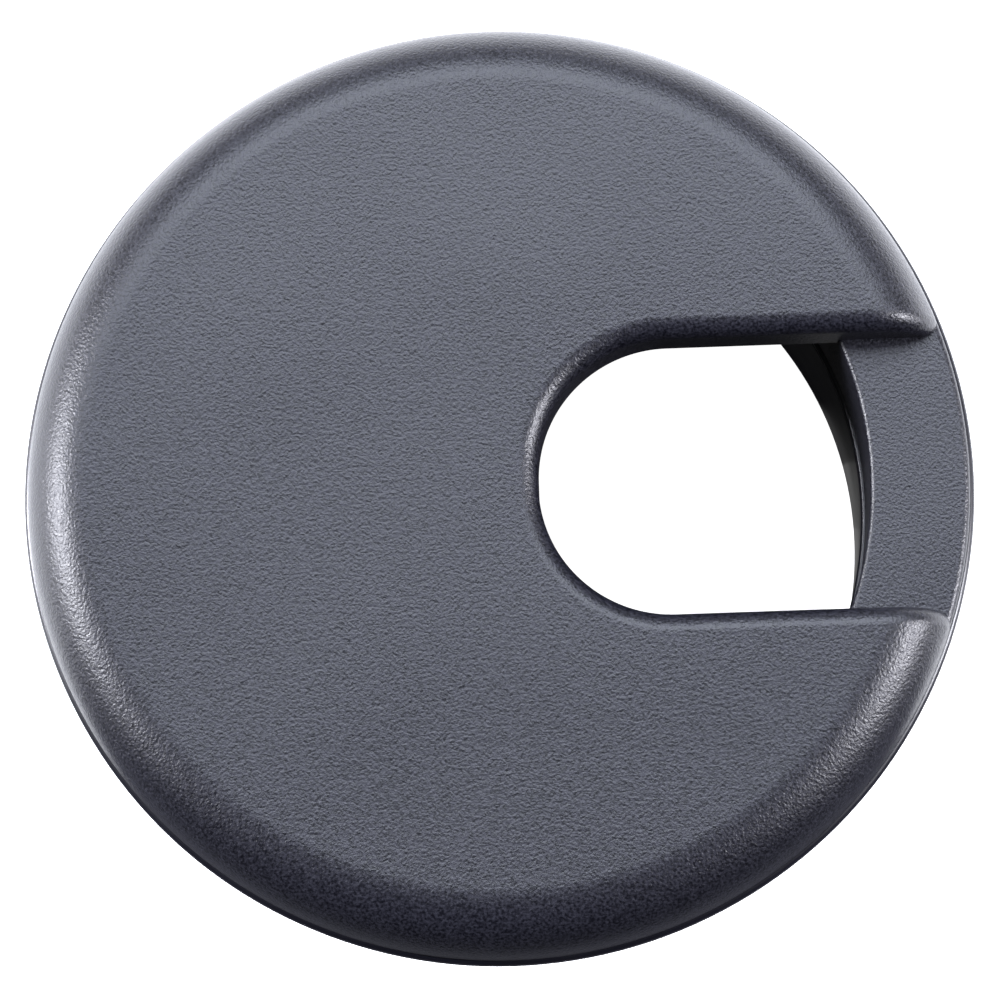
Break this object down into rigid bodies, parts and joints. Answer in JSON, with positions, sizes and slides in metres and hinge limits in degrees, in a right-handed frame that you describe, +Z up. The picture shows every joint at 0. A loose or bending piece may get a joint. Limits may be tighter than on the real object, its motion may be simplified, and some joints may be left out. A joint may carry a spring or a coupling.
{
  "type": "desk grommet",
  "caption": "Round cable grommet for a hole in a desk top: a domed cap with a U-shaped cable slot turns in a flanged liner.",
  "frame": {"origin": "on the axis of the desk hole, level with the desk's top surface, which the flange's underside rests on", "axes": "+Z up out of the desk along the hole's axis, +X towards the open mouth of the cable slot at rest"},
  "size_m": [0.07, 0.07, 0.032],
  "materials": {
    "cap_plastic": "fine leather grain moulded in, satin sheen",
    "liner_plastic": "smooth moulded surface, satin"
  },
  "bodies": {
    "liner": {"liner": "liner_plastic"},
    "cap": {"cap": "cap_plastic"}
  },
  "joints": [
    {"name": "cap_turn", "type": "hinge", "parent": "liner", "child": "cap", "pos_m": [0, 0, 0], "axis": [0, 0, 1], "continuous": true}
  ]
}
